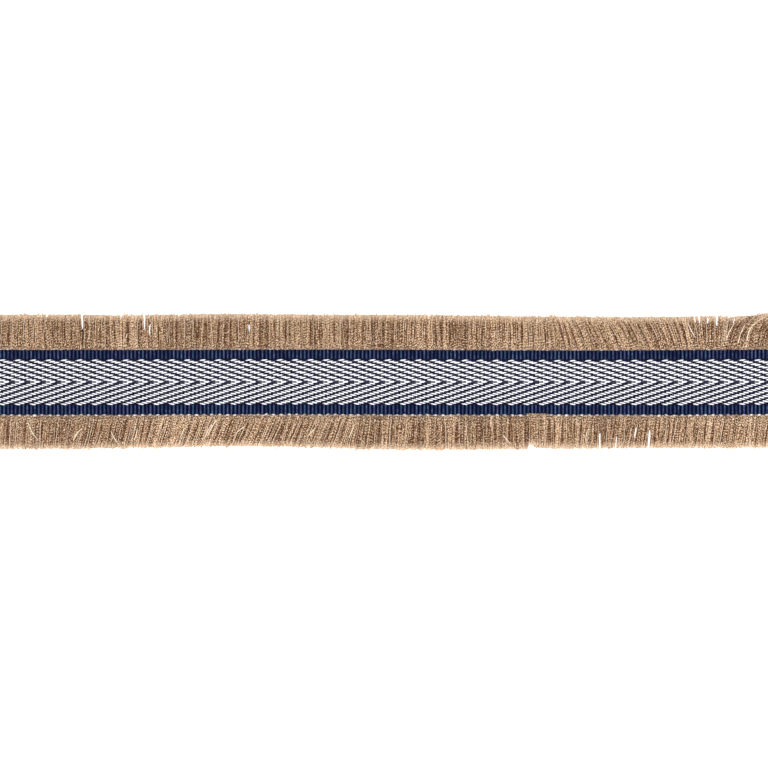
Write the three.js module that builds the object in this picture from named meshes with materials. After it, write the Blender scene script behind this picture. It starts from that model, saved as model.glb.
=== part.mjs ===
// Fringe trim cut to a length: a flat woven tape with a brush fringe of twisted yarn along each long edge.
// Millimetres. +X runs along the trim, +Y towards its upper fringe and +Z out of its face.
// The origin is on the flat underside, in the middle of the trim's outline.
import * as THREE from 'three';

// Driving sizes
const TRIM_LENGTH = 306;
const CUT_END = TRIM_LENGTH / 2; // both ends are cut square
const TAPE_WIDTH = 24.8;
const TAPE_THICKNESS = 1.6;
const TAPE_CENTRE_Y = -0.2; // the tape lies a little below the middle, because the upper fringe is longer
const SELVEDGE_GAP = 0.3; // between the tape's edge and the roots of the fringe
const ROOT_THICKNESS = 2.0; // the fringe is thickest where its yarns leave the tape
const TIP_THICKNESS = 1.2;
const FRINGE_LENGTH = 13.3; // the longest yarns, from the tape's edge to their tips

const TAPE_COLOUR = '#5d6278'; // navy and white yarn seen together
const FRINGE_COLOUR = '#a58a6f';

// A small lock of yarn ends every two picks of the tape's weave, with a notch between it and the next.
const LOCK_PITCH = 2.98;
const NOTCH = { depth: 1.1, mouth: 0.4 };
const SLIT_CLEARANCE = 1; // a notch nearer than this to a slit is left out

// The trim's outline at stations along its length. x: the station. wave: how far the tape's edge strays
// outwards from straight. reach: from the trim's middle line to the tips of the fringe. lean: degrees by
// which the yarns lean towards +X from root to tip.
const OUTLINE = [
  { x: -CUT_END, upper: { wave: 0.05, reach: 25.7, lean: 0 }, lower: { wave: 0.12, reach: 25.7, lean: -5 } },
  { x: -120, upper: { wave: 0.02, reach: 25.7, lean: -3 }, lower: { wave: 0.1, reach: 25.5, lean: -12 } },
  { x: -83, upper: { wave: 0.04, reach: 25.7, lean: 0 }, lower: { wave: -0.02, reach: 25.1, lean: -17 } },
  { x: -55, upper: { wave: 0.1, reach: 26.0, lean: -2 }, lower: { wave: -0.11, reach: 24.7, lean: -26 } },
  { x: -28, upper: { wave: 0.14, reach: 25.8, lean: 0 }, lower: { wave: -0.14, reach: 24.9, lean: -24 } },
  { x: 9, upper: { wave: 0.06, reach: 25.6, lean: 0 }, lower: { wave: -0.01, reach: 26.0, lean: -5 } },
  { x: 46, upper: { wave: -0.15, reach: 25.3, lean: 0 }, lower: { wave: 0.07, reach: 25.7, lean: 0 } },
  { x: 83, upper: { wave: -0.2, reach: 24.9, lean: -30 }, lower: { wave: 0.06, reach: 25.4, lean: -3 } },
  { x: 112, upper: { wave: -0.05, reach: 24.8, lean: -18 }, lower: { wave: 0.14, reach: 25.4, lean: -7 } },
  { x: CUT_END, upper: { wave: 0.14, reach: 25.4, lean: 25 }, lower: { wave: -0.11, reach: 25.3, lean: -8 } },
];

// The deep slits between locks. x: the slit's place at the tips. depth: from the tips inwards. mouth: its
// width at the tips.
const UPPER_SLITS = [
  { x: -141.0, depth: 1.6, mouth: 0.6 },
  { x: -130.2, depth: 2.4, mouth: 0.8 },
  { x: -116.8, depth: 5.6, mouth: 0.9 },
  { x: -101.4, depth: 2.0, mouth: 0.7 },
  { x: -93.0, depth: 6.3, mouth: 0.8 },
  { x: -90.5, depth: 7.5, mouth: 0.6 },
  { x: -52.7, depth: 7.6, mouth: 0.5 },
  { x: 17.5, depth: 1.8, mouth: 0.9 },
  { x: 121.5, depth: 3.3, mouth: 1.1 },
  { x: 125.2, depth: 3.7, mouth: 0.8 },
  { x: 128.4, depth: 4.4, mouth: 0.9 },
  { x: 134.1, depth: 3.4, mouth: 1.4 },
];
const LOWER_SLITS = [
  { x: -81.8, depth: 7.0, mouth: 0.5 },
  { x: -48.3, depth: 8.5, mouth: 0.5 },
  { x: 3.5, depth: 8.5, mouth: 0.5 },
  { x: 56.5, depth: 2.0, mouth: 2.4 },
  { x: 83.3, depth: 5.1, mouth: 0.7 },
  { x: 89.4, depth: 5.1, mouth: 0.6 },
  { x: 96.0, depth: 8.2, mouth: 0.6 },
  { x: 102.3, depth: 7.3, mouth: 0.8 },
  { x: 111.4, depth: 7.0, mouth: 0.5 },
  { x: 119.8, depth: 7.0, mouth: 0.5 },
  { x: 131.6, depth: 7.5, mouth: 0.5 },
  { x: 144.6, depth: 8.0, mouth: 0.5 },
];

// Each edge of the trim: its column in the outline, the way it faces along Y, and its slits.
const UPPER = { column: 'upper', outwards: 1, slits: UPPER_SLITS };
const LOWER = { column: 'lower', outwards: -1, slits: LOWER_SLITS };

// A value of one edge at any place along the trim, on straight lines between the stations.
function along(edge, key, x) {
  const next = Math.max(1, OUTLINE.findIndex((station) => station.x >= x));
  const [a, b] = [OUTLINE[next - 1], OUTLINE[next]];
  return THREE.MathUtils.mapLinear(x, a.x, b.x, a[edge.column][key], b[edge.column][key]);
}

// The tape's edge, moved outwards by a clearance.
function selvedge(edge, x, clearance = 0) {
  const halfWidth = TAPE_WIDTH / 2 + along(edge, 'wave', x) + clearance;
  return new THREE.Vector2(x, TAPE_CENTRE_Y + edge.outwards * halfWidth);
}

function tip(edge, x, depth = 0) {
  return new THREE.Vector2(x, edge.outwards * (along(edge, 'reach', x) - depth));
}

// The three corners of a slit or notch, from its left lip down to its root and back to its right lip.
function slitCorners(edge, { x, depth, mouth }) {
  const lean = THREE.MathUtils.degToRad(along(edge, 'lean', x));
  const root = tip(edge, x, depth).setX(x - depth * Math.tan(lean));
  return [tip(edge, x - mouth / 2), root, tip(edge, x + mouth / 2)];
}

// The shallow notches between small locks, wherever no deep slit is near.
function notches(edge) {
  const found = [];
  for (let x = LOCK_PITCH - CUT_END; x < CUT_END - LOCK_PITCH / 2; x += LOCK_PITCH) {
    const isClear = edge.slits.every((slit) => Math.abs(slit.x - x) > slit.mouth / 2 + SLIT_CLEARANCE);
    if (isClear) found.push({ x, ...NOTCH });
  }
  return found;
}

function tapeShape() {
  const stations = OUTLINE.map((station) => station.x);
  const lowerEdge = stations.map((x) => selvedge(LOWER, x));
  const upperEdge = stations.map((x) => selvedge(UPPER, x)).reverse();
  return new THREE.Shape([...lowerEdge, ...upperEdge]);
}

function combShape(edge) {
  const stations = OUTLINE.map((station) => station.x);
  const slits = [...edge.slits, ...notches(edge)].sort((a, b) => a.x - b.x);
  const endTips = [stations.at(0), stations.at(-1)].map((x) => tip(edge, x));
  const tipLine = [endTips[0], ...slits.flatMap((slit) => slitCorners(edge, slit)), endTips[1]];
  const rootLine = stations.map((x) => selvedge(edge, x, SELVEDGE_GAP)).reverse();
  return new THREE.Shape([...tipLine, ...rootLine]);
}

// A comb's top face falls from the thick roots to the thin tips, over a flat underside.
function combGeometry(edge) {
  const geometry = new THREE.ExtrudeGeometry(combShape(edge), { depth: ROOT_THICKNESS, bevelEnabled: false });
  const corner = geometry.attributes.position;
  for (let i = 0; i < corner.count; i += 1) {
    if (corner.getZ(i) > 0) {
      const fromTape = edge.outwards * (corner.getY(i) - TAPE_CENTRE_Y) - TAPE_WIDTH / 2;
      corner.setZ(i, THREE.MathUtils.mapLinear(fromTape, 0, FRINGE_LENGTH, ROOT_THICKNESS, TIP_THICKNESS));
    }
  }
  geometry.computeVertexNormals();
  return geometry;
}

function yarnMaterial(color, roughness) {
  return new THREE.MeshStandardMaterial({ color, roughness, metalness: 0 });
}

// The tape: one woven piece, a herringbone middle between two ribbed borders.
function makeTape() {
  const geometry = new THREE.ExtrudeGeometry(tapeShape(), { depth: TAPE_THICKNESS, bevelEnabled: false });
  const tape = new THREE.Mesh(geometry, yarnMaterial(TAPE_COLOUR, 0.85));
  tape.name = 'woven_tape';
  return tape;
}

// The fringe of one edge: a comb whose locks stand apart at the slits.
function makeFringe(name, edge) {
  const fringe = new THREE.Mesh(combGeometry(edge), yarnMaterial(FRINGE_COLOUR, 0.9));
  fringe.name = name;
  return fringe;
}

const trim = new THREE.Group();
trim.add(makeTape());
trim.add(makeFringe('upper_fringe', UPPER));
trim.add(makeFringe('lower_fringe', LOWER));

export default trim;
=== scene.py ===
import math
from collections import namedtuple

import bmesh
import bpy
import numpy as np
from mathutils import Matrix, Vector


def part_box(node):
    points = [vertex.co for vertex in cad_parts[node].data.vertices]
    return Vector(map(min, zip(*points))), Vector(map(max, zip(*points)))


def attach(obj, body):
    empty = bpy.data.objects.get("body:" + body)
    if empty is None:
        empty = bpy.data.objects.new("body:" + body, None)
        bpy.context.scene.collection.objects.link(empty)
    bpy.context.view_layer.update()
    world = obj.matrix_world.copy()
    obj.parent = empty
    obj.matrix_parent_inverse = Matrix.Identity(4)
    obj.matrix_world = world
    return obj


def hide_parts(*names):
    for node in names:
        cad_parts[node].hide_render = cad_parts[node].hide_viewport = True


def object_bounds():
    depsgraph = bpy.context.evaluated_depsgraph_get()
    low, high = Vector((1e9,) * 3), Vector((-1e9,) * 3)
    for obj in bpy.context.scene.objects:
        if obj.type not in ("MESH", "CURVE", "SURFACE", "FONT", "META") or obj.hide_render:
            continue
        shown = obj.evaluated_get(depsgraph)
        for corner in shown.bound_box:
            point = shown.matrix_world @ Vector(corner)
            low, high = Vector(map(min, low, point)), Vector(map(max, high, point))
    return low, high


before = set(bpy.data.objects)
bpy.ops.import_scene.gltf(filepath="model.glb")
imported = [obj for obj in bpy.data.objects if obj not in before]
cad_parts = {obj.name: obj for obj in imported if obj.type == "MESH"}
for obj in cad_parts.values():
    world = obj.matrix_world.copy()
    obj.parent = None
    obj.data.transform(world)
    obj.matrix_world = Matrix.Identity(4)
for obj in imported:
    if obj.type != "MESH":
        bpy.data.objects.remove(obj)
cad_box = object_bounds()

# Navy picks
# The weft of the tape: thick navy cotton picks, laid across its full width and beaten close together.
# In both borders fine navy warp binds every pick into a rib; between the borders the picks lie bare
# under the white warp.
MM = 0.001
tape_low, tape_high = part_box("woven_tape")
TAPE_CENTRE = (tape_low.y + tape_high.y) / 2
TAPE_MIDDLE = tape_high.z / 2  # half the tape's thickness above its flat back
PICK_PITCH = 1.488 * MM
FIRST_FLOAT = 1.39 * MM  # the white float nearest the middle of the trim is centred here
FIRST_GAP, LAST_GAP = -104, 102  # the gaps between picks that the two cuts follow, counted from there
PICK_COUNT = LAST_GAP - FIRST_GAP

# The tape's edges stray a little from straight.
WAVE_STATIONS = np.array([-153, -120, -83, -55, -28, 9, 46, 83, 112, 153]) * MM
UPPER_WAVE = np.array([0.05, 0.02, 0.04, 0.1, 0.14, 0.06, -0.15, -0.2, -0.05, 0.14]) * MM
LOWER_WAVE = np.array([0.12, 0.1, -0.02, -0.11, -0.14, -0.01, 0.07, 0.06, 0.14, -0.11]) * MM
UPPER_HALF = 12.42 * MM  # from the tape's centre line to the ends of its picks
LOWER_HALF = 12.82 * MM
HALF_HERRINGBONE = 8.76 * MM
UP = np.array([0, 0, 1.0])


def yarns(name, count, rings, corners, flatness=1.0, turns=0.0):
    """Straight closed yarns side by side. Each is a capped circle spun along Z, one unit to a ring."""
    bm = bmesh.new()
    bmesh.ops.create_circle(bm, cap_ends=True, segments=corners, radius=1)
    bmesh.ops.scale(bm, verts=bm.verts, vec=(1, flatness, 1))
    corner_of = bm.verts.layers.int.new("corner")
    for corner, vert in enumerate(bm.verts):
        vert[corner_of] = corner
    whole = bm.verts[:] + bm.edges[:] + bm.faces[:]
    bmesh.ops.spin(bm, geom=whole, cent=(0, 0, 0), axis=(0, 0, 1), dvec=(0, 0, 1),
                   angle=turns * math.tau, steps=rings - 1)
    bmesh.ops.recalc_face_normals(bm, faces=bm.faces)
    # The spin leaves its faces in an order that changes from run to run, so they are put in a fixed one.
    bm.verts.index_update()
    in_order = sorted(bm.faces, key=lambda face: sorted(vert.index for vert in face.verts))
    for index, face in enumerate(in_order):
        face.index = index
    bm.faces.sort()
    # Unrolled, a yarn is a strip with a column for each side and a row for each ring, and its two
    # caps lie before and after the strip.
    unrolled = bm.loops.layers.uv.new("OFBake")
    for face in bm.faces:
        heights = [loop.vert.co.z for loop in face.loops]
        is_cap = max(heights) - min(heights) < 0.5
        at_seam = {0, corners - 1} <= {loop.vert[corner_of] for loop in face.loops}
        for loop in face.loops:
            co, column = loop.vert.co, loop.vert[corner_of]
            if at_seam and column == 0:
                column = corners
            if is_cap:
                row = -0.5 if co.z < 0.5 else rings - 0.5
                loop[unrolled].uv = (0.5 + 0.4 * co.x, (row + 0.4 * co.y + 1) / (rings + 1))
            else:
                loop[unrolled].uv = (column / corners, (co.z + 1) / (rings + 1))
    straight = bpy.data.meshes.new(name)
    bm.to_mesh(straight)
    bm.free()
    straight.attributes.remove(straight.attributes["corner"])
    piece = bpy.data.objects.new(name, straight)
    bpy.context.scene.collection.objects.link(piece)
    repeat = piece.modifiers.new("repeat", "ARRAY")
    repeat.count = count
    repeat.use_relative_offset = False
    repeat.use_constant_offset = True
    repeat.constant_offset_displace = (3, 0, 0)
    evaluated = piece.evaluated_get(bpy.context.evaluated_depsgraph_get())
    side_by_side = bpy.data.meshes.new_from_object(evaluated)
    piece.modifiers.clear()
    piece.data = side_by_side
    side_by_side.shade_smooth()
    return piece


def lay(piece, paths, widths, heights, roll=0.0, columns=40, **shades):
    """Bends each yarn of a piece along its own path, given as count x rings x 3 points."""
    mesh = piece.data
    count, rings = paths.shape[:2]
    points = np.empty(len(mesh.vertices) * 3)
    mesh.vertices.foreach_get("co", points)
    x, y, ring = points.reshape(count, -1, 3)[0].T
    ring = ring.round().astype(int)
    roll = np.broadcast_to(roll, (count, rings))[:, ring]
    across = x * np.cos(roll) - y * np.sin(roll)
    through = x * np.sin(roll) + y * np.cos(roll)
    along = np.gradient(paths, axis=1)
    along /= np.linalg.norm(along, axis=2, keepdims=True)
    side = np.cross(UP, along)
    side /= np.linalg.norm(side, axis=2, keepdims=True)
    top = np.cross(along, side)
    width = np.broadcast_to(widths, (count, rings))[:, ring] * across
    height = np.broadcast_to(heights, (count, rings))[:, ring] * through
    placed = paths[:, ring] + side[:, ring] * width[..., None] + top[:, ring] * height[..., None]
    mesh.vertices.foreach_set("co", placed.ravel())
    # The unrolled strips stand side by side, each in a cell of its own.
    unrolled = mesh.uv_layers["OFBake"].uv
    strips = np.empty(len(unrolled) * 2)
    unrolled.foreach_get("vector", strips)
    strips = strips.reshape(count, -1, 2) * 0.92 + 0.04
    cells = np.stack(np.divmod(np.arange(count), columns)[::-1], axis=1)
    strips = (strips + cells[:, None]) / (columns, math.ceil(count / columns))
    unrolled.foreach_set("vector", strips.ravel())
    # A shade is a number for each yarn, or for each ring of each yarn, that a material reads. run goes
    # from root to tip, crown is how far a point stands above or below its yarn's middle, across is how
    # far it lies to one side of that middle, and number counts the yarns.
    shades = {name: np.broadcast_to(values, (count, rings))[:, ring] for name, values in shades.items()}
    shades["run"] = np.broadcast_to(ring / (rings - 1), through.shape)
    shades["crown"] = np.abs(through)
    shades["across"] = across
    shades["number"] = np.broadcast_to(np.arange(count)[:, None], through.shape)
    for shade_name, values in shades.items():
        mesh.attributes.new(shade_name, "FLOAT", "POINT").data.foreach_set("value", values.ravel())
    mesh.update()


def tone(red, green, blue):
    """A colour given in steps from 0 to 255, on Blender's even scale of light."""
    shares = [value / 255 for value in (red, green, blue)]
    return tuple(c / 12.92 if c < 0.043 else ((c + 0.055) / 1.055) ** 2.4 for c in shares)


class Shade:
    """One socket of a material. An expression on it adds its Math nodes."""

    def __init__(self, tree, socket):
        self.tree, self.socket = tree, socket

    def node(self, kind, settings, inputs, output=0):
        made = self.tree.nodes.new(kind)
        for name, value in settings.items():
            setattr(made, name, value)
        for name, value in inputs.items():
            if isinstance(value, Shade):
                self.tree.links.new(value.socket, made.inputs[name])
            else:
                made.inputs[name].default_value = value
        return Shade(self.tree, made.outputs[output])

    def maths(self, operation, *values):
        return self.node("ShaderNodeMath", {"operation": operation}, dict(enumerate(values)))

    def mix(self, factor, first, second):
        """Two colours mixed."""
        first, second = [c if isinstance(c, Shade) else (*c, 1) for c in (first, second)]
        return self.node("ShaderNodeMix", {"data_type": "RGBA"}, {0: factor, 6: first, 7: second}, 2)

    def place(self):
        """The place on the piece."""
        return self.node("ShaderNodeTexCoord", {}, {}, 3)

    def read(self, name):
        """A number that the piece's mesh carries."""
        return self.node("ShaderNodeAttribute", {"attribute_name": name}, {}, 2)

    def step(self, low, high):
        """0 where this is under low, 1 where it is over high and a soft step between them."""
        settings = {"interpolation_type": "SMOOTHSTEP"}
        return self.node("ShaderNodeMapRange", settings, {0: self, 1: low, 2: high})

    def __add__(self, other):
        return self.maths("ADD", self, other)

    def __sub__(self, other):
        return self.maths("SUBTRACT", self, other)

    def __rsub__(self, other):
        return self.maths("SUBTRACT", other, self)

    def __mul__(self, other):
        return self.maths("MULTIPLY", self, other)

    __radd__, __rmul__ = __add__, __mul__


def new_finish(name, **settings):
    """A new material, its shader with these settings, and the tools that paint it."""
    material = bpy.data.materials.new(name)
    material.use_nodes = True
    tree = material.node_tree
    shader = tree.nodes["Principled BSDF"]
    for setting, value in settings.items():
        shader.inputs[setting.replace("_", " ")].default_value = value
    return material, Shade(tree, None)


def dress(material, tools, colour, height, strength, distance):
    """Links a colour and a height, in units of distance, to the material's shader."""
    shader = material.node_tree.nodes["Principled BSDF"]
    relief = {"Height": height, "Strength": strength, "Distance": distance}
    bump = tools.node("ShaderNodeBump", {}, relief)
    tools.tree.links.new(colour.socket, shader.inputs["Base Color"])
    tools.tree.links.new(bump.socket, shader.inputs["Normal"])


draw = np.random.default_rng(449)
PICK_JITTER = 0.02 * MM
pick_x = FIRST_FLOAT + (FIRST_GAP + 0.5 + np.arange(PICK_COUNT)) * PICK_PITCH
pick_x = pick_x + draw.normal(0, PICK_JITTER, PICK_COUNT)


def stray(x, out):
    """How far the tape's own yarns, at places out from its centre line, follow its edges' waves."""
    upper = np.interp(x, WAVE_STATIONS, UPPER_WAVE) * np.clip(out / HALF_HERRINGBONE, 0, 1)
    lower = np.interp(x, WAVE_STATIONS, LOWER_WAVE) * np.clip(-out / HALF_HERRINGBONE, 0, 1)
    return upper - lower


# A pick's section: half its width, and half its height where it is bare and where it is in a rib.
PICK_WIDTH, BARE_HEIGHT, RIB_HEIGHT = 0.78 * MM, 0.42 * MM, 0.68 * MM

# A pick from its lower end to its upper. out: from the tape's centre line. share: of its full width.
# rise: 0 where it is bare and 1 in a rib.
out, share, rise = np.array([
    # out, share, rise
    (-LOWER_HALF, 0.6, 0),
    (-LOWER_HALF + 0.1 * MM, 0.92, 0.7),
    (-LOWER_HALF + 0.3 * MM, 1, 1),
    (-9.0 * MM, 1, 1),
    (-8.84 * MM, 1, 0.7),
    (-8.74 * MM, 1, 0),
    (-0.45 * MM, 1, 0),
    (0, 1, 0),
    (0.45 * MM, 1, 0),
    (8.76 * MM, 1, 0),
    (8.86 * MM, 1, 0.7),
    (9.02 * MM, 1, 1),
    (UPPER_HALF - 0.3 * MM, 1, 1),
    (UPPER_HALF - 0.1 * MM, 0.92, 0.7),
    (UPPER_HALF, 0.6, 0),
]).T
pick_width = PICK_WIDTH * share
pick_height = BARE_HEIGHT + (RIB_HEIGHT - BARE_HEIGHT) * rise
pick_paths = np.empty((PICK_COUNT, len(out), 3))
pick_paths[..., 0] = pick_x[:, None]
pick_paths[..., 1] = TAPE_CENTRE + out + stray(pick_x[:, None], out[None])
pick_paths[..., 2] = TAPE_MIDDLE
picks = yarns("navy_picks", PICK_COUNT, len(out), 16)
pick_tint = draw.uniform(0, 1, (PICK_COUNT, 1))
pick_hue = draw.uniform(0, 1, (PICK_COUNT, 1))
bare = (np.abs(out) < 8.9 * MM) * 1.0
fluff = (out == 0) * 1.0  # fibres of the white ends lie over the picks at the chevrons' points
lay(picks, pick_paths, pick_width, pick_height, columns=35,
    tint=pick_tint, hue=pick_hue, bare=bare, fluff=fluff)

navy, tools = new_finish("navy_cotton", Roughness=0.5, Specular_IOR_Level=0.06)
grain = tools.node("ShaderNodeMapping", {}, {"Vector": tools.place(), "Scale": (2400, 700, 2400)})
fleck = tools.node("ShaderNodeTexNoise", {}, {"Vector": grain, "Scale": 1.0, "Detail": 3.0})
tint = tools.read("tint")
cloth = tools.mix(tint, tone(24, 34, 64), tone(60, 74, 106))
cloth = tools.mix(tools.read("hue").step(0.6, 1.0) * 0.35, cloth, tone(66, 52, 96))
cloth = tools.mix(tools.read("hue").step(0.4, 0.0) * 0.35, cloth, tone(38, 78, 98))
cloth = tools.mix(fleck.step(0.52, 0.7) * 0.5, cloth, tone(100, 120, 160))
cloth = tools.mix(fleck.step(0.48, 0.3) * 0.6, cloth, tone(14, 22, 58))
# Painted shade: each pick darkens down its sides, which leaves a narrow bright crest.
cloth = tools.mix(tools.read("crown").step(0.99, 0.86), cloth, tone(6, 14, 44))
# Painted shade: the picks that lie bare between the borders are darkened between the white ends.
cloth = tools.mix(tools.read("bare") * 0.9, cloth, tone(18, 17, 40))
cloth = tools.mix(tools.read("fluff") * 0.6, cloth, tone(70, 66, 84))
dress(navy, tools, cloth, fleck, 0.6, 0.05 * MM)
picks.data.materials.append(navy)
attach(picks, "root")
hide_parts("woven_tape")

# White ends
# The warp of the herringbone: 35 ends of soft white cotton along the tape. Each floats over two picks
# and dives under two, one pick further along than its neighbour, and the step turns round at the
# middle, so the floats draw chevrons that point along +X. Upper ends are threaded in pairs.
RINGS_A_PICK = 3
REPEAT_PICKS = 4
POINT_END = 17  # the end at the chevrons' point
END_COUNT = 35
FIRST_END = 8.106 * MM  # from the trim's middle line
FIRST_PAIR = 7.373 * MM
PAIR_PITCH = 0.977 * MM
PAIR_HALF = 0.165 * MM
POINT_PLACE = -0.17 * MM
POINT_SHARE, POINT_SLANT = 1.4, 4  # the end at the point is thicker, and slants the other way
LOWER_START = -0.849 * MM
LOWER_PITCH = 0.4946 * MM

# Half the width and half the height of an end, and the angle at which its floats slant, in degrees.
UPPER_WIDTH, UPPER_HEIGHT, UPPER_SLANT = 0.31 * MM, 0.19 * MM, 7
LOWER_WIDTH, LOWER_HEIGHT, LOWER_SLANT = 0.295 * MM, 0.18 * MM, -9
END_JITTER = 0.025 * MM
END_SWELL = 0.05  # a share of its width

# One repeat of an end, over four picks, a ring at a time. pick: picks from the middle of the float.
# height: above the tape's middle, in millimetres. slant: how far the end leans sideways, as a share of
# its lean over a pick. width: a share.
REPEAT = np.array([
    # pick, height, slant, width
    (0, 0.62, 0, 1.04),
    (0.45, 0.56, 0.45, 0.94),
    (0.71, 0.2, 0.7, 0.64),
    (1, 0, 0.8, 0.36),
    (1.29, -0.2, 0.7, 0.72),
    (1.55, -0.56, 0.45, 0.98),
    (2, -0.62, 0, 1.04),
    (2.45, -0.56, -0.45, 0.98),
    (2.71, -0.2, -0.7, 0.72),
    (3, 0, -0.8, 0.36),
    (3.29, 0.2, -0.7, 0.64),
    (3.55, 0.56, -0.45, 0.94),
])
end_rings = (LAST_GAP - FIRST_GAP) * RINGS_A_PICK + 1


def end_place(end):
    """How far an end lies from the trim's middle line."""
    if end == 0:
        return FIRST_END
    if end < POINT_END:
        pair, second = divmod(end - 1, 2)
        return FIRST_PAIR - pair * PAIR_PITCH + (PAIR_HALF if second == 0 else -PAIR_HALF)
    if end == POINT_END:
        return POINT_PLACE
    return LOWER_START - (end - POINT_END - 1) * LOWER_PITCH


def weave_ends(name, ends, slant, width, height):
    """Some of the white ends as one piece."""
    ends = np.array(ends)
    step = np.minimum(ends, END_COUNT - 1 - ends)
    ring = np.arange(end_rings)[None] + (FIRST_GAP - step[:, None]) * RINGS_A_PICK
    repeat, station = np.divmod(ring, len(REPEAT))
    pick, rise, lean, share = REPEAT[station].transpose(2, 0, 1)
    along = (repeat * REPEAT_PICKS + pick + step[:, None]) * PICK_PITCH
    paths = np.empty((len(ends), end_rings, 3))
    paths[..., 0] = FIRST_FLOAT + along
    paths[..., 1] = np.array([end_place(end) for end in ends])[:, None]
    paths[..., 1] += stray(paths[..., 0], paths[..., 1] - TAPE_CENTRE)
    slants = np.radians(np.where(ends == POINT_END, POINT_SLANT, slant))
    paths[..., 1] += np.tan(slants)[:, None] * PICK_PITCH * lean
    paths[..., 1] += draw.normal(0, END_JITTER, paths.shape[:2])
    paths[..., 2] = TAPE_MIDDLE + rise * MM
    swell = draw.normal(1, END_SWELL, paths.shape[:2])
    share = np.where(ends[:, None] == POINT_END, POINT_SHARE * share, share)
    piece = yarns(name, len(ends), end_rings, 6)
    tint = draw.uniform(0, 1, (len(ends), 1))
    lay(piece, paths, width * share * swell, height, columns=len(ends), tint=tint)
    piece.data.materials.append(white)
    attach(piece, "root")
    return piece


white, tools = new_finish("white_cotton", Roughness=0.75, Specular_IOR_Level=0.2)
grain = tools.node("ShaderNodeMapping", {}, {"Vector": tools.place(), "Scale": (1500, 6000, 3000)})
fleck = tools.node("ShaderNodeTexNoise", {}, {"Vector": grain, "Scale": 1.0, "Detail": 3.0})
cloth = tools.mix(fleck, tone(232, 232, 240), tone(250, 250, 254))
# Painted shade: each white end turns greyer down its sides.
cloth = tools.mix(tools.read("crown").step(0.45, 0.0) * 0.7, cloth, tone(96, 98, 124))
dress(white, tools, cloth, fleck, 0.5, 0.04 * MM)
upper_ends = weave_ends("white_ends_upper", range(0, POINT_END), UPPER_SLANT, UPPER_WIDTH, UPPER_HEIGHT)
lower_ends = weave_ends("white_ends_lower", range(POINT_END, END_COUNT),
                        LOWER_SLANT, LOWER_WIDTH, LOWER_HEIGHT)

# Fringe
# Twisted yarns of tan rayon, held in the weave of the tape along both of its edges and cut to length.
# They lie in small locks over a thinner layer of the same yarn, with some loose fine threads on top.
TWISTED_COUNT, TWISTED_RINGS = 700, 34
UNDER_COUNT, UNDER_RINGS = 460, 13
LOOSE_COUNT, LOOSE_RINGS = 150, 10
TURNS = 6.5  # of the two plies of a yarn, from its root to its tip

# Of the twisted yarns, the layer under them and the loose threads: the height of their middles over the
# floor, and half their thickness.
TWISTED_HEIGHT, TWISTED_HALF = 1.12 * MM, 0.26 * MM
UNDER_HEIGHT, UNDER_HALF = 0.48 * MM, 0.45 * MM
LOOSE_HEIGHT, LOOSE_HALF = 1.55 * MM, 0.1 * MM

# How much locks differ from each other, and how much yarns do: in lean and sweep, in degrees, and in
# reach. The tips of single yarns curl sideways too.
LOCK_LEAN, LOCK_SWEEP, LOCK_REACH = 1.3, 2, 0.16 * MM
YARN_LEAN, YARN_SWEEP, YARN_REACH = 1.2, 2.5, 0.34 * MM
TIP_CURL = 26
STEEPEST = 88  # degrees, past which no yarn turns

# How yarns waver: how many waves there are from root to tip, and how far they swing. The weave of the
# tape crimps them near their roots.
SLOW_WAVES, SLOW_SWING = 2.4, 0.06 * MM
CRIMP_WAVES, ROOT_CRIMP, CRIMP = 6.5, 0.17 * MM, 0.05 * MM
RISE_WAVES, RISE_SWING = 3.5, 0.1 * MM

# How the yarns lie, at stations along the trim. x: the station. reach: from the trim's middle line to
# the tips. lean: the way the yarns leave the tape, in degrees towards +X. sweep: how far they turn on
# towards +X by their tips. All lengths in millimetres.
UPPER_LIE = np.array([
    # x, reach, lean, sweep
    (-154, 25.9, 2, 0),
    (-139, 26, 0, 0),
    (-130, 26, -5, 0),
    (-122, 26, 0, 0),
    (-102, 25.7, -1, 0),
    (-83, 26.05, -2, 0),
    (-65, 26.3, 0, 0),
    (-46, 26.2, -1, 0),
    (-28, 26, 0, 0),
    (28, 25.8, 0, 0),
    (50, 25.4, -1, 0),
    (64, 25.3, -2, 0),
    (71, 25.2, -11, -10),
    (76, 25.1, -17, -16),
    (86, 25, -20, -18),
    (98, 25, -21, -18),
    (108, 25.1, -19, -18),
    (115, 25.2, -14, -14),
    (120, 25.3, -9, -8),
    (124, 25.4, -1, 0),
    (129, 25.4, 3, 0),
    (132, 25.3, 4, 4),
    (133, 25.2, 12, 30),
    (134.5, 25.4, 14, 78),
    (139, 25.7, 10, 78),
    (140.5, 25.6, 3, 72),
    (148, 25, 3, 68),
    (151, 25.1, 2, 30),
    (154, 25.4, 0, 0),
])
LOWER_LIE = np.array([
    (-154, 26.5, -4, 0),
    (-128, 26.3, -5, 0),
    (-118, 26.4, -10, -2),
    (-102, 26, -12, -4),
    (-80, 25.8, -13, -5),
    (-66, 25.4, -18, -6),
    (-46, 25.4, -22, -6),
    (-24, 25.7, -22, -5),
    (-14, 26.1, -17, -4),
    (-8, 26.6, -12, -2),
    (0, 26.6, -3, 0),
    (10, 26.8, -7, 0),
    (18, 26.8, 0, 0),
    (46, 26.6, 0, 0),
    (55.3, 26.5, 0, 0),
    (55.8, 24.7, 1, 0),
    (57.4, 25.3, 2, 2),
    (59.5, 26.1, 0, 0),
    (62, 26.1, -2, 0),
    (68, 26.4, -2, 0),
    (83, 26.2, -4, 0),
    (94, 26.1, -8, -2),
    (110, 26.1, -6, -2),
    (122, 26.1, -7, -3),
    (140, 26, -8, -4),
    (154, 26, -7, -3),
])

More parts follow.
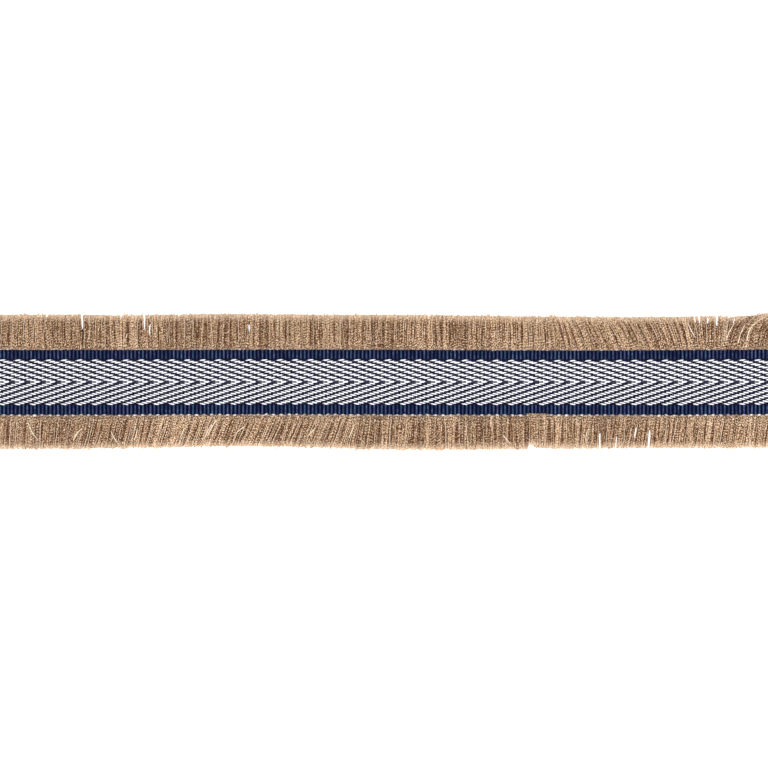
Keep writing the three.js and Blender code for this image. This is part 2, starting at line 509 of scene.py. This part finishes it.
# How far the roots of the yarns lie over the tape's edge, at places along the trim, in millimetres.
UPPER_ROOTS = np.array([(-154, 0.1), (154, 0.1)])
LOWER_ROOTS = np.array([
    (-154, 0.1),
    (54.4, 0.1),
    (55.2, 0.75),
    (61, 0.7),
    (64, 0.5),
    (66.5, 0.1),
    (154, 0.1),
])

# Slits that show what lies under the trim. x: the slit's place at the tips. near and far: where it
# starts and stops, from the tips inwards. lean: towards +X at the tips. width: at its widest.
UPPER_SLITS = [
    # x, near, far, lean, width
    (-141.0, -0.6, 2.2, 0, 0.3),
    (-130.2, -0.6, 2.9, -6, 0.4),
    (-116.7, -0.6, 6.6, -2, 0.4),
    (-101.4, -0.6, 2.7, 0, 0.3),
    (-92.7, -0.4, 6.9, -3, 0.4),
    (-91.0, 1.4, 4.8, -2, 0.12),
    (-89.7, 3.3, 9.2, 8, 0.35),
    (-52.5, 3.8, 8.4, -3, 0.35),
    (10.2, -0.6, 1.6, 0, 0.3),
    (17.5, -0.6, 2.2, 0, 0.4),
    (120.0, -0.6, 3.9, -12, 0.6),
    (121.4, -0.6, 3.9, -12, 0.45),
    (125.1, 0.8, 4.4, 0, 0.4),
    (128.4, -0.4, 5.2, 0, 0.5),
    (133.3, -0.6, 1.8, 8, 0.5),
    (136.1, 0.8, 4.6, 24, 0.3),
    (143.5, -0.6, 0.9, 30, 0.3),
]
LOWER_SLITS = [
    (83.3, -0.6, 7.4, 0, 0.45),
    (89.4, -0.6, 6.4, -6, 0.35),
    (95.9, 3.6, 9.4, -10, 0.4),
    (101.9, -0.6, 8.4, -5, 0.45),
]

# Places along the trim, in millimetres, where one lock parts from the next most plainly.
UPPER_PARTINGS = [
    -145.2, -130.5, -127.3, -123.3, -120.8, -119.7, -116.2, -113.1, -106.9, -103.8, -94.7, -86.9,
    -80.1, -78.4, -74.5, -71.9, -68.4, -64.2, -61.4, -59.1, -56.7, -47.9, -44.9, -38.0, -36.2,
    -31.4, -28.4, -19.1, -14.1, -11.8, -8.3, -4.9, -0.3, 3.2, 16.0, 20.0, 22.2, 25.4, 29.8, 37.8,
    41.0, 49.0, 53.2, 56.0, 62.5, 65.0, 70.0, 72.1, 75.2, 78.4, 81.2, 84.7, 86.6, 91.2, 95.4, 97.4,
    99.1, 102.6, 106.6, 111.2, 112.6, 117.4, 132.8, 136.4, 144.0, 149.5,
]
UPPER_WIDE = [-98.8]  # the widest of them
LOWER_PARTINGS = [
    -145.2, -138.0, -131.7, -128.5, -120.6, -113.6, -108.0, -104.5, -99.1, -96.5, -89.5, -84.3,
    -80.9, -73.8, -70.4, -64.2, -61.6, -58.0, -51.6, -48.8, -45.8, -44.4, -41.0, -34.4, -30.0,
    -23.3, -18.7, -16.2, -13.8, -8.8, -6.4, -1.2, 3.4, 7.5, 13.8, 15.4, 22.9, 28.5, 35.8, 37.6,
    40.7, 43.0, 48.6, 54.4, 63.8, 65.8, 69.1, 76.3, 80.3, 85.9, 88.4, 94.8, 101.9, 105.2, 106.6,
    110.8, 112.1, 117.0, 120.3, 127.6, 131.9, 144.3,
]
LOWER_WIDE = [55.6]

# How hard locks are pulled apart at those partings, and at the fainter ones between them.
PLAIN_PULL, WIDE_PULL = 0.3, 0.8
FAINT_PULLS = (0.02, 0.1)
FAINT_STEPS = (1.3 * MM, 3.4 * MM)  # from one faint parting to the next
CLEAR_OF_PLAIN = 0.9 * MM
LOCKS_END = 156 * MM
DRAWN_IN = 1.3 * MM  # how far a pull of 1 draws in the yarns beside a parting
MOST_DRAWN_IN = 0.65  # as a share of half the lock's width

# How far the fringe swells between its roots and its tips, and how low it lies as a whole. How far the
# middle of a lock stands over its sides, and how far the deepest yarns sink.
SWELL, LOW, LOCK_RISE, DEEP_SINK = 0.5 * MM, 0.15 * MM, 0.25 * MM, 0.55 * MM

# How much the dye differs from lock to lock, and from one stretch of the trim to the next.
LOCK_DYE, STRETCH_DYE, STRETCHES = 0.6, 0.8, 40

# Hollows, where the yarns lie deep between locks and are painted in shade. x, y: the middle of the
# hollow.
# across and along: half its size across the yarns and along them. The lower fringe has none.
UPPER_HOLLOWS = [
    # x, y, across, along
    (139.2, 18.7, 1.3, 3.2),
    (-98.9, 18.5, 0.8, 6.5),
    (149.5, 17.0, 0.6, 4.0),
]
LOWER_HOLLOWS = []


# One edge of the trim. out: the way it faces along Y. parting, pull: each parting between its locks,
# and how hard they are pulled apart there.
Edge = namedtuple("Edge", "out half_tape wave lie roots slits hollows parting pull")


def smooth(value, low, high):
    """0 below low, 1 above high and a soft step between them."""
    share = np.clip((value - low) / (high - low), 0, 1)
    return share * share * (3 - 2 * share)


def along_yarn(rings):
    """How far along its yarn each ring lies, from 0 at the root to 1 at the tip."""
    return np.linspace(0, 1, rings)[None]


def wobble(count, run, waves):
    """A soft random waver along each yarn, at most about 1, of about that many waves."""
    phase = draw.uniform(0, math.tau, (2, count, 1))
    speed = draw.uniform(0.6, 1.6, (2, count, 1)) * waves * math.tau
    return np.sin(phase + speed * run).sum(axis=0) / 1.98


def locks_of(partings, wide):
    """The partings between locks: those that are given, and fainter ones between them.

    With them comes how hard the locks are pulled apart at each.
    """
    found = [(x * MM, PLAIN_PULL) for x in partings] + [(x * MM, WIDE_PULL) for x in wide]
    x = -LOCKS_END
    while x < LOCKS_END:
        x += draw.uniform(*FAINT_STEPS)
        if min(abs(x - known) - 1.5 * MM * pull for known, pull in found) > CLEAR_OF_PLAIN:
            found.append((x, draw.uniform(*FAINT_PULLS)))
    return np.array(sorted(found)).T


def headings(run, count, lean, sweep, unruly):
    """Which way each yarn points along its run, in radians from straight out towards +X."""
    tip_curl = draw.normal(0, TIP_CURL, (count, 1)) * unruly
    heading = lean + sweep * run**1.8 + tip_curl * smooth(run, 0.78, 1.0)
    return np.radians(np.clip(heading, -STEEPEST, STEEPEST))


def open_slits(edge, x, y, half_thick):
    """Pushes aside each yarn that would lie in a slit, to the side on which most of the yarn lies."""
    for place, near, far, slit_lean, width in edge.slits:
        inward = np.interp(place, edge.lie[:, 0], edge.lie[:, 1]) * MM - y
        line = place * MM - inward * math.tan(math.radians(slit_lean))
        opens = smooth(inward, (near - 0.5) * MM, (near + 0.5) * MM)
        opens = opens * (1 - smooth(inward, (far - 1.6) * MM, far * MM))
        apart = x - line
        beside = np.sign((apart * (opens + 1e-6)).sum(axis=1, keepdims=True))
        open_half = width / 2 * MM + half_thick
        aside = np.sqrt(apart**2 + open_half**2) - beside * apart
        x = x + beside * opens * aside * (beside * apart < open_half)
    return x


def depths(edge, x, y, run, side, from_parting):
    """How deep yarns lie, from 0 to 1, each beside the parting whose number is its side.

    They are deepest at the parting, though not equally along it, and in a hollow. The same number
    sets how much painted shade they get.
    """
    pull = edge.pull[side, None]
    phase = draw.uniform(0, math.tau, (2, len(edge.parting)))[:, side, None]
    patchy = 0.72 + 0.28 * np.sin(phase[0] + (3 + phase[1]) * run)
    fade = 0.15 * MM + pull * 0.8 * MM
    shadow = np.minimum(pull * 1.7, 0.7) * np.exp(-from_parting / fade) * patchy
    for middle_x, middle_y, half_across, half_along in edge.hollows:
        hollow = ((x / MM - middle_x) / half_across) ** 2 + ((y / MM - middle_y) / half_along) ** 2
        shadow = np.maximum(shadow, np.exp(-(hollow**2)))
    return shadow


def comb(edge, count, rings, height, half_thick, unruly, gathered=1.0, swept=1.0):
    """Paths for yarns spread along an edge: they lean, sweep, gather in locks and open at the slits.

    unruly says how much the yarns differ from each other, gathered how much they draw together in
    locks, and swept how much they follow the lie of the fringe. With the paths come how deep each
    yarn lies along its run, which also sets its painted shade, and how light the dye took in it, about
    0.
    """
    run = along_yarn(rings)
    spread = (np.arange(count) + 0.5) / count + draw.normal(0, 0.12, count) * unruly / count
    root = (cad_box[0][0] + spread * (cad_box[1][0] - cad_box[0][0]))[:, None]
    lock = np.clip(np.searchsorted(edge.parting, root[:, 0]), 1, len(edge.parting) - 1)
    lock_draw = draw.normal(0, gathered, (3, len(edge.parting)))[:, lock, None]
    reach, lean, sweep = [np.interp(root / MM, edge.lie[:, 0], column) for column in edge.lie.T[1:]]
    lean = lean * (0.6 + 0.4 * swept) + lock_draw[0] * LOCK_LEAN
    lean = lean + draw.normal(0, YARN_LEAN * unruly, (count, 1))
    sweep = sweep * swept + lock_draw[1] * LOCK_SWEEP + draw.normal(0, YARN_SWEEP * unruly, (count, 1))
    heading = headings(run, count, lean, sweep, unruly)
    # Each yarn's length is what brings its tip out to its reach.
    lap = np.interp(root, edge.roots[:, 0] * MM, edge.roots[:, 1] * MM)
    edge_y = edge.half_tape + TAPE_CENTRE * edge.out + np.interp(root, WAVE_STATIONS, edge.wave) - lap
    tip = (reach - (1 - unruly) * 0.35) * MM + lock_draw[2] * LOCK_REACH
    tip = tip + draw.normal(0, YARN_REACH, (count, 1)) * unruly
    forward = np.cumsum(np.cos(heading), axis=1) - np.cos(heading[:, :1])
    sideways = np.cumsum(np.sin(heading), axis=1) - np.sin(heading[:, :1])
    length = (tip - edge_y) / forward[:, -1:]
    x = root + sideways * length
    y = edge_y + forward * length
    # The yarns of a lock draw together, away from the partings on either side, and waver.
    low_side, high_side = edge.parting[lock - 1, None], edge.parting[lock, None]
    middle, half = (low_side + high_side) / 2, (high_side - low_side) / 2
    from_middle = np.clip((root - middle) / half, -1, 1)
    side = np.where(from_middle[:, 0] > 0, lock, lock - 1)
    drawn = np.minimum(edge.pull[side, None] * DRAWN_IN, half * MOST_DRAWN_IN) * gathered
    x = x - from_middle * drawn * smooth(run, 0.04, 0.4) * (1 - 0.45 * smooth(run, 0.75, 1.0))
    x = x + wobble(count, run, SLOW_WAVES) * SLOW_SWING * unruly
    crimp = ROOT_CRIMP * (1 - smooth(run, 0.1, 0.45)) + CRIMP
    x = x + wobble(count, run, CRIMP_WAVES) * crimp * unruly
    x = open_slits(edge, x, y, half_thick)
    shadow = depths(edge, x, y, run, side, (1 - np.abs(from_middle)) * half)
    # A lock is highest along its middle. Its yarns rise from the tape's edge and fall to their tips.
    crown = (1 - from_middle**2) * LOCK_RISE - shadow * DEEP_SINK
    swell = (smooth(run, 0.0, 0.12) - smooth(run, 0.3, 1.0)) * SWELL - LOW
    z = height + (swell + crown) * unruly + wobble(count, run, RISE_WAVES) * RISE_SWING
    z = z + (lap - 0.1 * MM) * 1.2 * (1 - smooth(run, 0, 0.35))
    lock_dye = draw.normal(0, LOCK_DYE, len(edge.parting))[lock, None]
    stretch_dye = draw.normal(0, STRETCH_DYE, STRETCHES)
    stretch_places = np.linspace(-LOCKS_END, LOCKS_END, STRETCHES)
    dye = lock_dye + np.interp(root, stretch_places, stretch_dye)
    return np.stack([x, edge.out * y, z + 0 * x], axis=2), shadow, dye


tan, tools = new_finish("tan_rayon", Roughness=0.45, Specular_IOR_Level=0.15)
run, tint, dark = tools.read("run"), tools.read("tint"), tools.read("dark")
cloth = tools.mix(tint, tone(172, 123, 84), tone(226, 177, 130))
# The tan drifts between a pinker and a yellower one. Painted light makes it paler in the tips, and
# painted shade darker where a yarn's side turns down and where the yarn lies deep.
hues = tools.node("ShaderNodeTexNoise", {}, {"Vector": tools.place(), "Scale": 420.0, "Detail": 1.0})
cloth = tools.mix(hues.step(0.54, 0.7) * 0.4, cloth, tone(236, 182, 158))
cloth = tools.mix(hues.step(0.46, 0.3) * 0.4, cloth, tone(214, 184, 116))
tips = run.step(0.74, 1.0)
cloth = tools.mix(tips * 0.9, cloth, tone(252, 219, 184))
cloth = tools.mix(tools.read("crown").step(0.5, 0.1) * 0.4, cloth, tone(88, 50, 24))
cloth = tools.mix(dark, cloth, tone(92, 54, 26))
# Painted highlights and glints stand for the light that the backs of the plies and loose fibres catch,
# and painted shade darkens the creases between them.
sideways = tools.read("number") * 5.7 + tools.read("across") * 0.5
along = tools.node("ShaderNodeCombineXYZ", {}, {"X": sideways, "Y": run * 35})
fibres = tools.node("ShaderNodeTexNoise", {}, {"Vector": along, "Scale": 1.0, "Detail": 0.0})
plies = tools.maths("COSINE", tools.read("turned") * 2 + tools.read("across") * 1.2)
plies = plies * 0.5 + (fibres - 0.5) * 6.5 + (tint - 0.75) * 0.6
cloth = tools.mix(plies.step(0.0, 0.45) * (0.7 - 0.64 * dark), cloth, tone(249, 215, 177))
cloth = tools.mix(plies.step(0.5, 1.2) * (0.62 - 0.55 * dark), cloth, tone(255, 241, 224))
cloth = tools.mix(plies.step(0.0, -0.45) * (0.74 - 0.2 * tips), cloth, tone(62, 24, 4))
# Painted light: the yarn is paler towards its cut tip, where light passes through its spread fibres,
# and near its root at the tape's edge. The number pale is that painted light at the lower fringe's roots
# and tips, and the own paler colour of some loose and stray threads.
cloth = tools.mix(tips * 0.55, cloth, tone(253, 221, 188))
cloth = tools.mix(run.step(0.9, 1.0) * 0.4, cloth, tone(255, 238, 218))
cloth = tools.mix(run.step(0.1, 0.0) * 0.25, cloth, tone(226, 204, 190))
cloth = tools.mix(tools.read("pale"), cloth, tone(255, 236, 212))
dress(tan, tools, cloth, plies, 0.5, 0.04 * MM)


def brush(name, edge, node, lightness, paleness, pale_roots):
    """One fringe: twisted yarns on top, a layer under them, and loose fine threads."""
    top = yarns(name, TWISTED_COUNT, TWISTED_RINGS, 4, flatness=0.55, turns=TURNS)
    paths, shadow, dye = comb(edge, TWISTED_COUNT, TWISTED_RINGS, TWISTED_HEIGHT, TWISTED_HALF, 1.0)
    run = along_yarn(TWISTED_RINGS)
    each = (TWISTED_COUNT, 1)
    girth = draw.normal(0.27, 0.03, each) * MM * (1 - 0.3 * smooth(run, 0.92, 1.0))
    turn = draw.uniform(0, math.tau, each) + draw.normal(0, 0.6 * math.tau, each) * run
    tint = np.clip(lightness + 0.26 * dye + draw.normal(0, 0.06, each), 0, 1)
    # Painted shade: yarns beside partings and in hollows are darkened, and so are a few single yarns at
    # random.
    shaded_single_yarns = draw.uniform(0, 1, each) < 0.02
    dark = np.maximum(shadow, 0.6 * shaded_single_yarns) * 0.88
    # Painted light: in the lower fringe the roots and tips of these yarns are made paler.
    pale = pale_roots * (1 - smooth(run, 0.1, 0.35) + 0.5 * smooth(run, 0.7, 0.95))
    lay(top, paths, girth, girth, roll=turn, columns=62, tint=tint, dark=dark, pale=pale,
        turned=turn + TURNS * math.tau * run)

    under = yarns(name + "_under", UNDER_COUNT, UNDER_RINGS, 4)
    paths, _, _ = comb(edge, UNDER_COUNT, UNDER_RINGS, UNDER_HEIGHT, UNDER_HALF, 0.2,
                       gathered=0.1, swept=0.0)
    each = (UNDER_COUNT, 1)
    tint = draw.uniform(0, 0.7, each)
    turned = draw.uniform(0, math.tau, each) + TURNS * math.tau * along_yarn(UNDER_RINGS)
    # Painted shade: the layer under the twisted yarns is darkened all through.
    lay(under, paths, 0.55 * MM, 0.3 * MM, columns=62, tint=tint, dark=0.75, pale=0.0, turned=turned)

    # A loose thread lies in the fringe at its root and comes up somewhere along its run.
    loose = yarns(name + "_loose", LOOSE_COUNT, LOOSE_RINGS, 4)
    paths, _, _ = comb(edge, LOOSE_COUNT, LOOSE_RINGS, LOOSE_HEIGHT, LOOSE_HALF, 1.6)
    run = along_yarn(LOOSE_RINGS)
    each = (LOOSE_COUNT, 1)
    surfacing = draw.uniform(0.1, 0.7, each)
    paths[..., 2] -= 0.7 * MM * (1 - smooth(run, surfacing, surfacing + 0.15))
    pale = draw.uniform(0, paleness, each) ** 2
    turned = draw.uniform(0, math.tau, each) + TURNS * math.tau * run
    lay(loose, paths, 0.11 * MM, 0.09 * MM, columns=60, tint=1.0, dark=0.0, pale=pale, turned=turned)

    for piece in (top, under, loose):
        piece.data.materials.append(tan)
        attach(piece, "root")
    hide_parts(node)
    return [top, under, loose]


upper_edge = Edge(1, UPPER_HALF, UPPER_WAVE, UPPER_LIE, UPPER_ROOTS, UPPER_SLITS, UPPER_HOLLOWS,
                  *locks_of(UPPER_PARTINGS, UPPER_WIDE))
lower_edge = Edge(-1, LOWER_HALF, LOWER_WAVE, LOWER_LIE, LOWER_ROOTS, LOWER_SLITS, LOWER_HOLLOWS,
                  *locks_of(LOWER_PARTINGS, LOWER_WIDE))
fringes = brush("upper_brush", upper_edge, "upper_fringe", 0.55, 0.75, 0.0)
fringes += brush("lower_brush", lower_edge, "lower_fringe", 0.5, 0.9, 0.08)

# Stray threads
# A few pale threads of the fringe lie across the others, or stick out past them. They hang in it by
# their own twist.
STRAYS = np.array([
    # root x, root y, tip x and tip y in millimetres, and how far it bows to its right, as a share
    (-137.6, -15.3, -133.6, -22.7, 0.06),
    (-120.0, -22.7, -118.5, -20.0, 0.06),
    (-105.4, -19.2, -102.3, -24.2, 0.06),
    (-96.5, -22.7, -95.3, -18.0, 0.06),
    (-29.7, -21.1, -26.2, -17.3, 0.06),
    (41.5, -13.4, 41.6, -19.0, 0.06),
    (45.9, -20.5, 49.0, -24.0, 0.06),
    (78.5, -19.0, 78.0, -23.8, 0.06),
    (-116.7, -18.2, -119.9, -21.8, 0.03),
    (-76.5, -17.3, -78.7, -21.8, 0.03),
    (-66.2, -16.0, -69.4, -22.4, 0.03),
    (-64.6, -14.7, -68.4, -21.8, 0.03),
    (-53.7, -17.3, -58.2, -21.1, 0.03),
    (-10.8, -16.0, -13.4, -21.8, 0.03),
    (-99.6, 16.7, -99.2, 18.6, 0.06),
    (120.0, 17.1, 116.9, 22.9, 0),
    (132.0, 15.7, 135.3, 22.3, -0.05),
    (136.8, 14.8, 139.8, 22.3, -0.07),
    (139.9, 13.4, 147.3, 25.0, -0.18),
])
STRAY_RINGS = 9
STRAY_HALF = 0.2 * MM  # half its thickness at the root
STRAY_HEIGHT = 1.5 * MM
STRAY_TURNS = 8
run = np.linspace(0, 1, STRAY_RINGS)
bow = np.sin(math.pi * run)
reach = (STRAYS[:, 2:4] - STRAYS[:, :2]) * MM
sideways = reach[:, ::-1] * (1, -1) * STRAYS[:, 4:]
paths = np.empty((len(STRAYS), STRAY_RINGS, 3))
paths[..., :2] = STRAYS[:, None, :2] * MM + reach[:, None] * run[:, None]
paths[..., :2] += sideways[:, None] * bow[:, None]
paths[..., 2] = STRAY_HEIGHT + 0.25 * MM * bow
strays = yarns("stray_threads", len(STRAYS), STRAY_RINGS, 6)
girth = STRAY_HALF * (1 - 0.5 * run**4)
lay(strays, paths, girth, girth, columns=3, tint=1.0, dark=0.0, pale=0.85,
    turned=STRAY_TURNS * math.tau * run)
strays.data.materials.append(tan)
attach(strays, "root")

# Edge stitches
# A greyish cream thread binds the roots of the fringe to the tape's edge. It shows as a small rounded
# stitch beside every second rib, on even picks along the lower edge and on odd picks along the upper.
STITCH_RINGS = 9
STITCH_OFFSET = -0.15 * MM  # along the trim, from the middle of the rib
stitch_run = np.linspace(-1, 1, STITCH_RINGS)


def stitch_row(name, out, first_pick, wave, place, length, girth, lightness):
    """The stitches along one edge, as small rounded arches."""
    x = pick_x[first_pick::2] + STITCH_OFFSET
    count = len(x)
    bulge = np.sqrt(1 - stitch_run**2 * 0.98)
    tilt = draw.normal(0, 0.2, (count, 1))
    paths = np.empty((count, STITCH_RINGS, 3))
    paths[..., 0] = x[:, None] + stitch_run * length / 2 + draw.normal(0, 0.06 * MM, (count, 1))
    edge_y = place + np.interp(x, WAVE_STATIONS, wave)[:, None] + draw.normal(0, 0.07 * MM, (count, 1))
    paths[..., 1] = out * (edge_y + (bulge - 1) * 0.15 * MM) + tilt * stitch_run * length / 2
    paths[..., 2] = 0.9 * MM + bulge * 0.75 * MM
    thick = girth / 2 * draw.normal(1, 0.1, (count, 1)) * (0.35 + 0.65 * bulge)
    piece = yarns(name, count, STITCH_RINGS, 6)
    tint = np.clip(draw.normal(lightness, 0.25, (count, 1)), 0, 1)
    lay(piece, paths, thick, thick, columns=26, tint=tint)
    piece.data.materials.append(cream)
    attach(piece, "root")
    return piece


cream, tools = new_finish("cream_thread", Roughness=0.6, Specular_IOR_Level=0.25)
fibres = tools.node("ShaderNodeTexNoise", {}, {"Vector": tools.place(), "Scale": 2500.0, "Detail": 2.0})
cloth = tools.mix(tools.read("tint"), tone(140, 116, 100), tone(244, 238, 230))
dress(cream, tools, cloth, fibres, 0.5, 0.05 * MM)
# Painted shade: the upper row's cream is darker than the lower row's, as that row catches less light.
lower_stitches = stitch_row("lower_stitches", -1, 0, LOWER_WAVE, 13.0 * MM, 1.05 * MM, 0.7 * MM, 0.5)
upper_stitches = stitch_row("upper_stitches", 1, 1, UPPER_WAVE, 12.38 * MM, 1.0 * MM, 0.6 * MM, 0.1)

# The floor, the light and the view
# The trim lies on a white sheet that sends back much light, under a wide soft light, and is seen from
# straight above.
VIEW_WIDTH = 0.29645
VIEW_MIDDLE = -1.04 * MM  # the middle of the view lies this far from the trim's middle line
LENS, SENSOR = 200, 36
FLOOR_HALF = 6
floor_mesh = bmesh.new()
bmesh.ops.create_grid(floor_mesh, x_segments=1, y_segments=1, size=FLOOR_HALF)
floor_data = bpy.data.meshes.new("floor")
floor_mesh.to_mesh(floor_data)
floor_mesh.free()
floor = bpy.data.objects.new("floor", floor_data)
bpy.context.scene.collection.objects.link(floor)
paper, _ = new_finish("white_paper", Roughness=0.9, Base_Color=(0.92, 0.92, 0.92, 1),
                      Emission_Color=(1, 1, 1, 1), Emission_Strength=1.0)
floor_data.materials.append(paper)

soft = bpy.data.lights.new("softbox", "AREA")
soft.shape = "RECTANGLE"
soft.size, soft.size_y = 0.9, 0.5
soft.energy = 11
softbox = bpy.data.objects.new("softbox", soft)
softbox.location = (0.1, -0.35, 0.9)
softbox.rotation_euler = (math.radians(21), math.radians(6), 0)
bpy.context.scene.collection.objects.link(softbox)

world = bpy.data.worlds.new("studio")
world.use_nodes = True
world.node_tree.nodes["Background"].inputs["Color"].default_value = (1, 1, 1, 1)
world.node_tree.nodes["Background"].inputs["Strength"].default_value = 0.5
bpy.context.scene.world = world
bpy.context.scene.view_settings.view_transform = "Standard"

camera_data = bpy.data.cameras.new("view")
camera_data.lens = LENS
camera_data.sensor_width = SENSOR
camera = bpy.data.objects.new("view", camera_data)
camera.location = (0, VIEW_MIDDLE, VIEW_WIDTH * LENS / SENSOR + tape_high.z)
bpy.context.scene.collection.objects.link(camera)
bpy.context.scene.camera = camera
